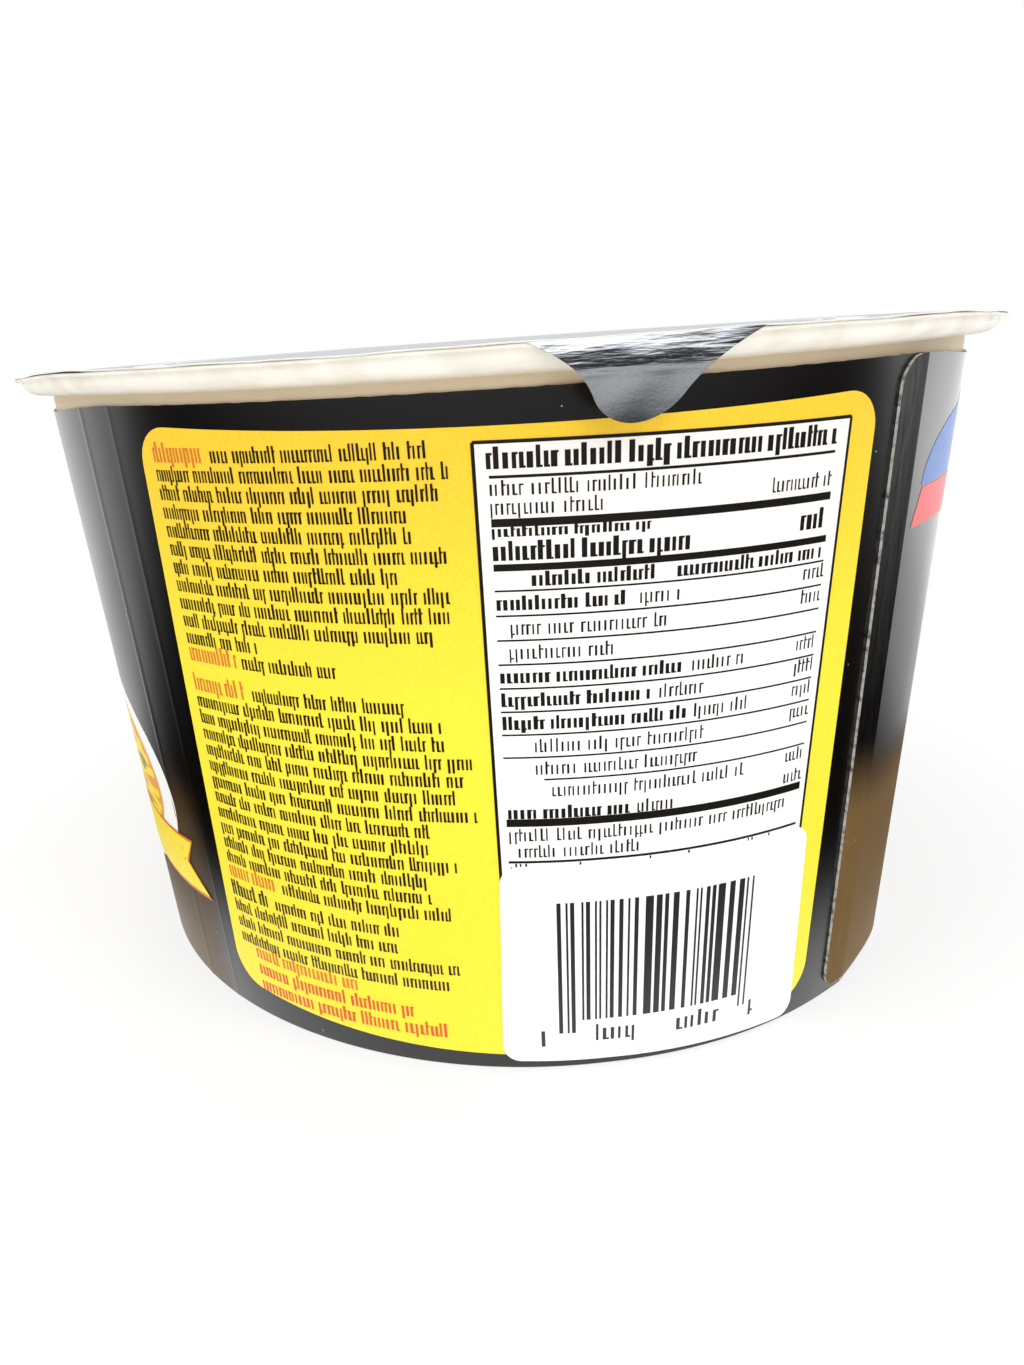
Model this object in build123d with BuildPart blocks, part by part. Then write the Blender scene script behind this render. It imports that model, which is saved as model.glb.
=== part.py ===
"""Sealed instant noodle cup: a tapered cup, a foil lid, a paperboard sleeve and a stick-on label.

Millimetres, +Z up. The origin is the middle of the foot, on the surface the cup stands on.
The ingredients side of the sleeve faces -Y. Angles are turned from there towards +X.
"""

import math
import os

from build123d import *

# Cup
cup_height = 85.2
base_radius = 56.95
neck_radius = 65.4
rim_radius = 69.8
rim_depth = 2.45
rim_undercut = 0.25
roll_flat = 0.9
lip_thickness = 0.45
lip_width = 0.6
foot_width = 5.5
foot_round = 1.0
recess_depth = 3.2
recess_round = 1.5

# Foil lid and its pull tab
lid_thickness = 0.35
lid_overhang = 0.65
tab_angle = 12.6
tab_width = 26.0
tab_drop = 8.2
tab_lean = 3.2
tab_tip_radius = 5.4
tab_tip_sweep = 47.0
tab_bend_radius = 0.45

# Paperboard sleeve with its overlapping end
board = 0.42
sleeve_clearance = 0.1
sleeve_top_gap = 1.3
sleeve_floor_gap = 0.2
flap_angle = 43.1
flap_width = 17.0
flap_rise = 0.7
flap_corner = 5.0

# Stick-on label
label_angle = 16.5
label_width = 38.9
label_height = 27.2
label_thickness = 0.15
label_corner = 2.2
label_base_gap = 0.9

neck_height = cup_height - rim_depth
lid_radius = rim_radius + lid_overhang
sleeve_bottom = sleeve_floor_gap
sleeve_top = neck_height - sleeve_top_gap


def wall_radius(height, outset=0.0):
    """Radius of the cup's tapered wall at a height, moved out by an amount."""
    taper = (neck_radius - base_radius) / neck_height
    return base_radius + taper * height + outset


def facing(angle):
    """Upright plane through the axis, seen from outside at an angle: x to the right, y up."""
    turn = math.radians(angle)
    across = (math.cos(turn), math.sin(turn), 0)
    outward = (math.sin(turn), -math.cos(turn), 0)
    return Plane(origin=(0, 0, 0), x_dir=across, z_dir=outward)


def wall_band(bottom, top, inner, outer):
    """Closed outline, in radius and height, of a layer that lies on the tapered wall."""
    Polyline(
        (wall_radius(bottom, inner), bottom),
        (wall_radius(bottom, outer), bottom),
        (wall_radius(top, outer), top),
        (wall_radius(top, inner), top),
        close=True,
    )


# The cup is solid: it is shut, so its wall and its filling are one block.
roll_radius = rim_radius - lip_width
roll_centre = neck_radius + roll_flat
recess_radius = base_radius - foot_width
with BuildPart() as cup:
    with BuildSketch(Plane.XZ):
        with BuildLine():
            Polyline(
                (0, recess_depth),
                (recess_radius, recess_depth),
                (recess_radius, 0),
                (base_radius, 0),
                (neck_radius, neck_height),
                (neck_radius, neck_height + rim_undercut),
                (roll_centre, neck_height),
            )
            EllipticalCenterArc(
                (roll_centre, cup_height - lip_thickness),
                roll_radius - roll_centre,
                rim_depth - lip_thickness,
                start_angle=270,
                arc_size=90,
            )
            Polyline(
                (roll_radius, cup_height - lip_thickness),
                (rim_radius, cup_height - lip_thickness),
                (rim_radius, cup_height),
                (0, cup_height),
                (0, recess_depth),
            )
        make_face()
    revolve(axis=Axis.Z)
    circles = cup.edges().filter_by(GeomType.CIRCLE)
    foot_edges = circles.filter_by_position(Axis.Z, 0, 0)
    recess_edges = circles.filter_by_position(Axis.Z, recess_depth, recess_depth)
    fillet(foot_edges, foot_round)
    fillet(recess_edges, recess_round)
cup.part.label = "cup"

# The tab is a strip of the lid bent down over the rim, cut to a bell with a rounded tip.
lid_top = cup_height + lid_thickness
tab_bend = lid_radius - tab_bend_radius
tab_toe = lid_radius - tab_lean
with BuildPart() as tab:
    with BuildSketch(Plane.XZ):
        with BuildLine():
            FilletPolyline(
                (tab_bend - 1, lid_top),
                (lid_radius, lid_top),
                (tab_toe, lid_top - tab_drop - lid_thickness),
                radius=tab_bend_radius,
            )
            FilletPolyline(
                (tab_bend - 1, cup_height),
                (lid_radius - lid_thickness, cup_height),
                (tab_toe - lid_thickness, lid_top - tab_drop - lid_thickness),
                radius=tab_bend_radius - lid_thickness,
            )
            Line((tab_bend - 1, lid_top), (tab_bend - 1, cup_height))
            Line(
                (tab_toe, lid_top - tab_drop - lid_thickness),
                (tab_toe - lid_thickness, lid_top - tab_drop - lid_thickness),
            )
        make_face()
    revolve(axis=Axis.Z)
    with BuildSketch(facing(tab_angle)):
        with BuildLine():
            tip = CenterArc(
                (0, lid_top - tab_drop + tab_tip_radius),
                tab_tip_radius,
                270 - tab_tip_sweep,
                2 * tab_tip_sweep,
            )
            right_flank = TangentArc(tip @ 1, (tab_width / 2, cup_height), tangent=tip % 1)
            left_flank = TangentArc(tip @ 0, (-tab_width / 2, cup_height), tangent=-(tip % 0))
            Polyline(
                right_flank @ 1,
                (tab_width / 2, lid_top),
                (-tab_width / 2, lid_top),
                left_flank @ 1,
            )
        make_face()
    extrude(amount=lid_radius + lid_thickness, mode=Mode.INTERSECT)

with BuildPart() as lid:
    with BuildSketch(Plane.XY.offset(cup_height)):
        Circle(lid_radius)
    extrude(amount=lid_thickness)
    add(tab.part)
lid.part.label = "lid"

# The sleeve's outer end laps over it, a little higher than the end beneath.
with BuildPart() as flap:
    with BuildSketch(Plane.XZ):
        with BuildLine():
            wall_band(
                sleeve_bottom + flap_rise,
                sleeve_top + flap_rise,
                sleeve_clearance + board / 2,
                sleeve_clearance + 2 * board,
            )
        make_face()
    revolve(axis=Axis.Z)
    with BuildSketch(facing(flap_angle)):
        with Locations((flap_width, (sleeve_bottom + sleeve_top) / 2 + flap_rise)):
            RectangleRounded(2 * flap_width, sleeve_top - sleeve_bottom, flap_corner)
        with Locations((2 * flap_width, sleeve_top / 2)):
            Rectangle(2 * flap_width, 2 * sleeve_top, mode=Mode.SUBTRACT)
    extrude(amount=rim_radius, mode=Mode.INTERSECT)

with BuildPart() as sleeve:
    with BuildSketch(Plane.XZ):
        with BuildLine():
            wall_band(sleeve_bottom, sleeve_top, sleeve_clearance, sleeve_clearance + board)
        make_face()
    revolve(axis=Axis.Z)
    add(flap.part)
sleeve.part.label = "sleeve"

# The label is flat paper that follows the sleeve.
label_bottom = sleeve_bottom + label_base_gap
label_middle = label_bottom + label_height / 2
label_outset = sleeve_clearance + board
label_turn = label_width / wall_radius(label_middle, label_outset)
label_chord = 2 * wall_radius(label_middle, label_outset) * math.sin(label_turn / 2)
with BuildPart() as label_piece:
    with BuildSketch(Plane.XZ):
        with BuildLine():
            wall_band(
                label_bottom,
                label_bottom + label_height,
                label_outset,
                label_outset + label_thickness,
            )
        make_face()
    revolve(axis=Axis.Z)
    with BuildSketch(facing(label_angle)):
        with Locations((0, label_middle)):
            RectangleRounded(label_chord, label_height, label_corner)
    extrude(amount=rim_radius, mode=Mode.INTERSECT)
label_piece.part.label = "label"

os.makedirs("parts", exist_ok=True)
for piece, name in ((cup, "cup"), (lid, "lid"), (sleeve, "sleeve"), (label_piece, "label")):
    export_step(piece.part, f"parts/{name}.step")
    print(name, "volume mm3", round(piece.part.volume, 1), "solids", len(piece.part.solids()))
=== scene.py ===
"""Looks of a sealed instant noodle cup: ivory cup, dark foil lid, printed sleeve and stick-on label.

Sizes are in millimetres and become metres as a mesh is made. Angles are in degrees round the cup,
0 towards -Y (the ingredients side) and growing towards +X.
"""
from __future__ import annotations

import logging
import math
from dataclasses import dataclass, field
from enum import Enum

import bpy
import numpy as np
from mathutils import Matrix, Vector


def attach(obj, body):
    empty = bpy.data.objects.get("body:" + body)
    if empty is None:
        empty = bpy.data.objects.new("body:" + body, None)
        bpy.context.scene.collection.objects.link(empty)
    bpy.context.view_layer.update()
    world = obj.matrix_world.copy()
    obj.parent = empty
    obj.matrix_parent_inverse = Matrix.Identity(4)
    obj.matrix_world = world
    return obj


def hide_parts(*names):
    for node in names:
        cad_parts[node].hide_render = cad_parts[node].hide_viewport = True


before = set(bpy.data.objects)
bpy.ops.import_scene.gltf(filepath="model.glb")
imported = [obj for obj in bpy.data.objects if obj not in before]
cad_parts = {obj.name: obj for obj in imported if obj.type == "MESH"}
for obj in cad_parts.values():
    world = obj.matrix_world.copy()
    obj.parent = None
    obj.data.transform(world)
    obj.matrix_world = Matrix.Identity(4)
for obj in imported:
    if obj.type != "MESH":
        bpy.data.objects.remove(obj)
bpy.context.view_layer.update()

LOG = logging.getLogger("noodle_cup")
MM = 0.001
BODY = "root"
PICTURE_WIDTH = 1024
PICTURE_HEIGHT = 1365
SHARP_ANGLE = math.radians(2.6)

Array = np.ndarray
Inks = dict[str, bpy.types.Material]


# ---------------------------------------------------------------- colours and shader maths


def linear(code: str) -> tuple[float, float, float, float]:
    """Turns a hex colour code into linear red, green, blue and alpha.

    Args:
        code: six hex digits, such as "FFE030".

    Returns:
        The linear colour with alpha 1.
    """
    parts = [int(code[i:i + 2], 16) / 255 for i in (0, 2, 4)]
    channels = [p / 12.92 if p <= 0.04045 else ((p + 0.055) / 1.055) ** 2.4 for p in parts]
    return (channels[0], channels[1], channels[2], 1.0)


class Graph:
    """A node tree, with the one method that adds nodes to it."""

    def __init__(self, tree: bpy.types.NodeTree) -> None:
        """Keeps the tree."""
        self.tree = tree

    def feed(self, place: bpy.types.NodeSocket, value: object) -> None:
        """Links or sets an input.

        Args:
            place: the input.
            value: a Value, a socket, a number or a colour.
        """
        source = value.socket if isinstance(value, Value) else value
        if isinstance(source, bpy.types.NodeSocket):
            self.tree.links.new(source, place)
        else:
            place.default_value = source

    def add(self, kind: str, settings: dict, sockets: dict) -> bpy.types.Node:
        """Adds a node.

        Args:
            kind: the node's type.
            settings: attributes, which are set first.
            sockets: input names or numbers, each with what feeds it.

        Returns:
            The node.
        """
        node = self.tree.nodes.new(kind)
        for name, value in settings.items():
            setattr(node, name, value)
        for name, value in sockets.items():
            self.feed(node.inputs[name], value)
        return node

    def value(self, kind: str, settings: dict, sockets: dict, output: int | str = 0) -> "Value":
        """Adds a node and gives one of its outputs as a Value."""
        return Value(self, self.add(kind, settings, sockets).outputs[output])


class Value:
    """A number socket that adds Math nodes when it is used in an expression."""

    def __init__(self, graph: Graph, socket: bpy.types.NodeSocket) -> None:
        """Keeps the graph and the socket."""
        self.graph = graph
        self.socket = socket

    def _math(self, operation: str, *values: "Value | float") -> "Value":
        """Adds one Math node for an operation on values."""
        return self.graph.value("ShaderNodeMath", {"operation": operation}, dict(enumerate(values)))

    def __add__(self, other: "Value | float") -> "Value":
        """Sum."""
        return self._math("ADD", self, other)

    def __sub__(self, other: "Value | float") -> "Value":
        """Difference."""
        return self._math("SUBTRACT", self, other)

    def __rsub__(self, other: float) -> "Value":
        """Reflected difference."""
        return self._math("SUBTRACT", other, self)

    def __mul__(self, other: "Value | float") -> "Value":
        """Product."""
        return self._math("MULTIPLY", self, other)

    __radd__ = __add__
    __rmul__ = __mul__

    def above(self, edge: float) -> "Value":
        """1 where the value is over an edge, else 0."""
        return self._math("GREATER_THAN", self, edge)

    def power(self, exponent: float) -> "Value":
        """The value raised to a power."""
        return self._math("POWER", self, exponent)

    def ramp(self, start: float, end: float) -> "Value":
        """A smooth step from 0 at start to 1 at end."""
        return self.graph.value("ShaderNodeMapRange", {"interpolation_type": "SMOOTHSTEP"}, {
            "Value": self, "From Min": start, "From Max": end})


class Paint(Graph):
    """A material under construction, with one Principled shader."""

    def __init__(self, name: str) -> None:
        """Makes a material with a Principled shader and its output.

        Args:
            name: the material's name.
        """
        self.material = bpy.data.materials.new(name)
        self.material.use_nodes = True
        super().__init__(self.material.node_tree)
        self.tree.nodes.clear()
        self.shader = self.add("ShaderNodeBsdfPrincipled", {}, {})
        self.output = self.add("ShaderNodeOutputMaterial", {}, {"Surface": self.shader.outputs[0]})

    def set(self, **sockets: object) -> None:
        """Sets or links the shader's inputs, named with underscores for spaces."""
        for name, value in sockets.items():
            self.feed(self.shader.inputs[name.replace("_", " ")], value)

    def place(self, scale: tuple[float, float, float] = (1, 1, 1)) -> bpy.types.NodeSocket:
        """Object coordinates, stretched along each axis."""
        coordinates = self.add("ShaderNodeTexCoord", {}, {})
        return self.add("ShaderNodeMapping", {}, {
            "Vector": coordinates.outputs["Object"], "Scale": scale}).outputs[0]

    def axes(self) -> tuple[Value, Value, Value]:
        """The object's x, y and z as three values, in millimetres."""
        split = self.add("ShaderNodeSeparateXYZ", {}, {"Vector": self.place()})
        x, y, z = (Value(self, socket) * (1 / MM) for socket in split.outputs)
        return x, y, z

    def noise(self, size: float, detail: float = 3.0,
              stretch: tuple[float, float, float] = (1, 1, 1)) -> Value:
        """Noise on object coordinates.

        Args:
            size: the size of its lumps, in millimetres.
            detail: its detail.
            stretch: how much finer it is along x, y and z.

        Returns:
            The noise, about 0.5 on average.
        """
        return self.value("ShaderNodeTexNoise", {}, {
            "Vector": self.place(stretch), "Scale": 1 / (size * MM), "Detail": detail})

    def mix(self, factor: Value, low: object, high: object) -> bpy.types.NodeSocket:
        """Mixes two colours by a factor."""
        return self.add("ShaderNodeMix", {"data_type": "RGBA"}, {0: factor, 6: low, 7: high}).outputs[2]

    def bump(self, height: Value, depth: float) -> None:
        """Links a bump of a depth in millimetres to the shader's normal."""
        self.set(Normal=self.add("ShaderNodeBump", {}, {
            "Height": height, "Strength": 1.0, "Distance": depth * MM}).outputs[0])


class Slot(Enum):
    """Material slots of the record; each piece is made with one, which is not used."""

    CUP = "cup_shell"
    LID = "lid_foil"
    SLEEVE = "sleeve_board"
    LABEL = "label_paper"


@dataclass(frozen=True)
class IvoryShell:
    """Smooth ivory cup material with faint mottling, and painted shade: a darker, warmer neck under the
    rim.
    """

    light: str = "F5F2E8"
    dark: str = "E9E4D8"
    # colour of the painted shade on the neck under the rim
    neck: str = "D9C8AB"
    neck_shade_low: float = 82.6
    neck_shade_high: float = 83.5
    foot_zone: float = 60.0
    roughness: float = 0.5

    def make(self) -> bpy.types.Material:
        """Builds the material."""
        paint = Paint("ivory_shell")
        mottle = paint.noise(5.0).ramp(0.35, 0.7)
        z = paint.axes()[2]
        # painted shade: below the rim and above the foot zone, the neck takes a darker, warmer colour
        neck = z.above(self.foot_zone) * (1 - z.ramp(self.neck_shade_low, self.neck_shade_high))
        shell = paint.mix(mottle, linear(self.light), linear(self.dark))
        paint.set(Base_Color=paint.mix(neck, shell, linear(self.neck)))
        paint.set(Roughness=mottle * 0.1 + self.roughness, Specular_IOR_Level=0.35)
        paint.bump(paint.noise(0.6, 4.0), 0.02)
        return paint.material


@dataclass(frozen=True)
class LidFoil:
    """Dark foil laminate with fine crinkles, two pale generic rings on top and a pale cut edge."""

    name: str
    dark: str
    ring: str = "D4D6D8"
    rings: tuple[tuple[float, float], ...] = ((50.0, 54.0), (47.5, 48.3))
    top: float = 85.0
    edge: str = "DEDCD6"
    edge_radius: float = 69.7
    fold_low: float = 81.9
    fold_high: float = 83.6
    crinkle: float = 0.0
    depth: float = 0.12

    def make(self) -> bpy.types.Material:
        """Builds the material."""
        paint = Paint(self.name)
        x, y, z = paint.axes()
        away = (x * x + y * y).power(0.5)
        (wide_in, wide_out), (thin_in, thin_out) = self.rings
        wide = away.above(wide_in) * (1 - away.above(wide_out))
        thin = away.above(thin_in) * (1 - away.above(thin_out))
        foil = paint.mix((wide + thin) * z.above(self.top), linear(self.dark), linear(self.ring))
        cut = away.above(self.edge_radius)
        fine, soft = paint.noise(0.3), paint.noise(7.0, 2.0)
        paint.set(Base_Color=paint.mix(cut, foil, linear(self.edge)), Metallic=1 - cut,
                  Roughness=fine * 0.12 + 0.17)
        lines = paint.noise(1.5, 3.0, (0.2, 0.2, 1.5))
        folds = z.ramp(self.fold_low, self.fold_high) * self.crinkle + 0.05
        paint.bump(fine * 0.05 + soft * 0.5 + lines * folds, self.depth)
        return paint.material


@dataclass(frozen=True)
class SleeveBoard:
    """Coated black board that turns brown towards the foot, with small scuffs."""

    black: str = "0D0A09"
    brown: str = "6B5024"
    scuff: str = "A8A49A"
    fade_low: float = 25.0
    fade_high: float = 37.0
    drift: float = 6.0
    roughness: float = 0.27

    def make(self) -> bpy.types.Material:
        """Builds the material."""
        paint = Paint("sleeve_board")
        z = paint.axes()[2]
        strip, art = (paint.value("ShaderNodeAttribute", {"attribute_name": name}, {}, "Fac")
                      for name in ("worn_strip", "art_side"))
        drift = (paint.noise(30.0, 1.0) - 0.5) * self.drift
        fade = (1 - (z + drift).ramp(self.fade_low, self.fade_high)) * art
        colour = paint.mix(fade, linear(self.black), linear(self.brown))
        specks = paint.noise(0.8, 1.0).ramp(0.77, 0.82) * paint.noise(7.0, 1.0).ramp(0.5, 0.6)
        colour = paint.mix(specks, colour, linear(self.scuff))
        streaks = paint.noise(0.6, 5.0, (1, 1, 0.1))
        worn = strip * streaks.ramp(0.35, 0.7)
        paint.set(Base_Color=colour, Specular_IOR_Level=0.38)
        paint.set(Roughness=fade * 0.45 + worn * 0.2 + self.roughness)
        paint.bump(paint.noise(0.35, 3.0) * 0.15 + streaks * strip * 0.8, 0.03)
        return paint.material


@dataclass(frozen=True)
class BoardCore:
    """Uncoated pale board, as on a cut edge and on the inside."""

    name: str = "board_core"
    light: str = "D9D6CF"
    dark: str = "8F8B84"

    def make(self) -> bpy.types.Material:
        """Builds the material."""
        paint = Paint(self.name)
        fibre = paint.noise(0.7, 5.0).ramp(0.42, 0.72)
        paint.set(Base_Color=paint.mix(fibre, linear(self.light), linear(self.dark)), Roughness=0.85)
        paint.bump(paint.noise(0.3, 3.0), 0.04)
        return paint.material


@dataclass(frozen=True)
class Ink:
    """A printed colour that moves from one tone to another with height, with a fine mottle. On the
    yellow and the white the darker upper tone is painted shade under the rim.
    """

    name: str
    light: str
    deep: str
    roughness: float = 0.38
    deep_low: float = 42.0
    deep_high: float = 81.0

    def make(self) -> bpy.types.Material:
        """Builds the material."""
        paint = Paint(self.name)
        # the move towards the upper tone; on the yellow and the white it is painted shade under the rim
        tone = paint.axes()[2].ramp(self.deep_low, self.deep_high)
        weave = paint.noise(0.3, 2.0).ramp(0.35, 0.7)
        mixed = tone * 0.82 + weave * 0.2
        paint.set(Base_Color=paint.mix(mixed, linear(self.light), linear(self.deep)))
        paint.set(Roughness=weave * 0.08 + self.roughness, Specular_IOR_Level=0.4)
        return paint.material


# ---------------------------------------------------------------- shapes as numbers


def smooth(value: Array, start: float, end: float) -> Array:
    """A smooth step from 0 at start to 1 at end."""
    share = np.clip((value - start) / (end - start), 0, 1)
    return share * share * (3 - 2 * share)


def wrapped(angle: Array) -> Array:
    """Angles in degrees, brought between -180 and 180."""
    return (angle + 180) % 360 - 180


def waves(turn: Array, terms: tuple[tuple[float, float, float], ...]) -> Array:
    """A sum of sines round the circle, from terms of height, count and phase."""
    return sum(size * np.sin(count * turn + phase) for size, count, phase in terms)


def around(away: Array, turn: Array, height: Array) -> Array:
    """Points round the axis: x = r sin a, y = -r cos a, z = height.

    Args:
        away: distances from the axis, in millimetres.
        turn: angles, in radians.
        height: heights, in millimetres.

    Returns:
        The points, stretched to one grid.
    """
    return np.stack(np.broadcast_arrays(away * np.sin(turn), -away * np.cos(turn), height), -1)


def arc(centre: tuple[float, float], size: tuple[float, float], start: float, end: float,
        count: int) -> list[tuple[float, float]]:
    """Points of an elliptical arc in radius and height: centre + (width sin a, -height cos a).

    Args:
        centre: its centre.
        size: its half width and half height.
        start: the first angle, in radians from straight down, growing outwards.
        end: the last angle.
        count: how many points.

    Returns:
        The points.
    """
    turn = np.linspace(start, end, count)
    return list(zip(centre[0] + size[0] * np.sin(turn), centre[1] - size[1] * np.cos(turn)))


def rounding(corner: float, near: Array) -> Array:
    """How far a rounded corner draws an edge back, by the distance to the edge beside it."""
    reach = np.clip(corner - near, 0, None)
    return corner - np.sqrt(np.clip(corner ** 2 - reach ** 2, 0, None))


def rounded_rows(low: float, high: float, corner: float, pad: float, corner_rows: int,
                 plain_rows: int) -> tuple[Array, Array]:
    """Rows of a shape with rounded corners, closer together in the corners.

    Args:
        low: its lowest height.
        high: its highest height.
        corner: radius of its corners.
        pad: where the plain rows start, from either end.
        corner_rows: rows in a corner.
        plain_rows: rows between.

    Returns:
        The heights, and how far each row is drawn in.
    """
    ease = corner * (1 - np.cos(np.linspace(0, np.pi / 2, corner_rows)))
    plain = np.linspace(low + pad, high - pad, plain_rows)
    rows = np.concatenate([low + ease, plain, (high - ease)[::-1]])
    return rows, rounding(corner, np.minimum(rows - low, high - rows))


# ---------------------------------------------------------------- meshes


@dataclass
class Net:
    """Vertices, faces and a tag for each face, gathered before a mesh is made."""

    points: list[Array] = field(default_factory=list)
    faces: list[Array] = field(default_factory=list)
    tags: list[Array] = field(default_factory=list)
    count: int = 0

    def take(self, points: Array, faces: Array, tags: Array) -> None:
        """Adds a closed shell.

        Args:
            points: its vertices, in millimetres, one a row.
            faces: its quads, as rows of four vertex numbers.
            tags: the material number of each face.
        """
        self.points.append(points)
        self.faces.append(faces + self.count)
        self.tags.append(tags)
        self.count += len(points)

    def sheet(self, front: Array, back: Array, tags: tuple[int, int, int] = (0, 0, 0)) -> None:
        """Adds a closed sheet between two grids of points.

        The front grid runs left to right along its second index and upwards along its first, seen
        from outside. The back grid lies behind it, and four strips close the rim.

        Args:
            front: grid of front points, rows by columns by three.
            back: grid of back points, the same shape.
            tags: material numbers of the front, the back and the rim.
        """
        rows, columns = front.shape[:2]
        shift = rows * columns
        index = np.arange(shift).reshape(rows, columns)
        a, b = index[:-1, :-1], index[:-1, 1:]
        c, d = index[1:, 1:], index[1:, :-1]
        loop = np.concatenate([index[0, :-1], index[:-1, -1], index[-1, :0:-1], index[:0:-1, 0]])
        after = np.roll(loop, -1)
        faces = (np.stack([a, b, c, d], -1).reshape(-1, 4),
                 np.stack([d, c, b, a], -1).reshape(-1, 4) + shift,
                 np.stack([loop, loop + shift, after + shift, after], -1))
        numbers = [np.full(len(part), tag) for part, tag in zip(faces, tags)]
        points = np.concatenate([front.reshape(-1, 3), back.reshape(-1, 3)])
        self.take(points, np.concatenate(faces), np.concatenate(numbers))

    def boxes(self, corners: Array) -> None:
        """Adds many six-sided blocks at once.

        Args:
            corners: blocks by 8 by 3, front corners anticlockwise from outside, then those behind.
        """
        sides = np.array([
            [0, 1, 2, 3], [7, 6, 5, 4], [0, 4, 5, 1], [1, 5, 6, 2], [2, 6, 7, 3], [3, 7, 4, 0]])
        count = len(corners)
        faces = (sides[None] + 8 * np.arange(count)[:, None, None]).reshape(-1, 4)
        self.take(corners.reshape(-1, 3), faces, np.zeros(len(faces), int))

    def lathe(self, radii: Array, heights: Array, wave: Array) -> None:
        """Adds a turned solid whose outline starts and ends on the axis.

        Each outline point is carried round the axis, and the two end points become one vertex each.

        Args:
            radii: outline radii, first and last 0, from the bottom outwards and over the top.
            heights: outline heights.
            wave: height offsets, outline points by points round the circle.
        """
        steps = wave.shape[1]
        turn = np.linspace(0, 2 * np.pi, steps, endpoint=False)
        ring = around(radii[1:-1, None], turn, heights[1:-1, None] + wave[1:-1])
        ends = [[0, 0, heights[0]], [0, 0, heights[-1]]]
        points = np.concatenate([ring.reshape(-1, 3), ends])
        index = np.arange((len(radii) - 2) * steps).reshape(-1, steps)
        right = np.roll(index, -1, axis=1)
        body = np.stack([index[:-1], right[:-1], right[1:], index[1:]], -1).reshape(-1, 4)
        low, high = index.size, index.size + 1
        start = np.stack([np.full(steps, low), right[0], index[0], index[0]], -1)
        end = np.stack([np.full(steps, high), index[-1], right[-1], right[-1]], -1)
        faces = np.concatenate([body, start, end])
        self.take(points, faces, np.zeros(len(faces), int))

    def make(self, name: str, materials: list[bpy.types.Material], slot: Slot,
             replaces: tuple[str, ...] = ()) -> bpy.types.Object:
        """Turns the gathered shells into one object that rides on the cup's body.

        Args:
            name: the object's name.
            materials: its materials, by tag.
            slot: the record's material slot; not used.
            replaces: the CAD nodes that it stands for.

        Returns:
            The object.
        """
        points = np.concatenate(self.points) * MM
        faces = np.concatenate(self.faces)
        tags = np.concatenate(self.tags)
        three = faces[:, 2] == faces[:, 3]
        counts = np.where(three, 3, 4)
        keep = np.ones_like(faces, bool)
        keep[three, 3] = False
        mesh = bpy.data.meshes.new(name)
        mesh.vertices.add(len(points))
        mesh.vertices.foreach_set("co", points.astype(np.float32).ravel())
        mesh.loops.add(int(counts.sum()))
        mesh.loops.foreach_set("vertex_index", faces[keep].astype(np.int32))
        mesh.polygons.add(len(faces))
        starts = np.concatenate([[0], np.cumsum(counts)[:-1]])
        mesh.polygons.foreach_set("loop_start", starts.astype(np.int32))
        mesh.polygons.foreach_set("material_index", tags.astype(np.int32))
        mesh.update(calc_edges=True)
        mesh.validate()
        mesh.shade_smooth()
        mesh.set_sharp_from_angle(angle=SHARP_ANGLE)
        for material in materials:
            mesh.materials.append(material)
        piece = bpy.data.objects.new(name, mesh)
        bpy.context.scene.collection.objects.link(piece)
        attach(piece, BODY)
        if replaces:
            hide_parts(*replaces)
        LOG.info("%s: %d vertices, %d faces", name, len(points), len(faces))
        return piece


def node_points(name: str) -> Array:
    """Vertices of a CAD node, in millimetres."""
    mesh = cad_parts[name].data
    flat = np.empty(len(mesh.vertices) * 3, np.float32)
    mesh.vertices.foreach_get("co", flat)
    return flat.reshape(-1, 3).astype(float) / MM


@dataclass(frozen=True)
class Bow:
    """A height offset of a rim: one value in front, another at the sides and back."""

    front: float
    side: float
    start: float
    end: float

    def at(self, angle: Array) -> Array:
        """Offset at an angle in degrees: a smooth step from front to side between two angles."""
        share = smooth(np.abs(wrapped(angle)), self.start, self.end)
        return self.front + (self.side - self.front) * share


RIM_BOW = Bow(0.45, -0.4, 42.0, 68.0)
SLEEVE_BOW = Bow(0.1, -1.1, 42.0, 66.0)


@dataclass(frozen=True)
class Corner:
    """A soft upright corner of the sleeve: its angle, its widths in degrees and its lifts."""

    angle: float
    before: float
    after: float
    low: float
    high: float
    sharpness: float = 2.0


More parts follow.
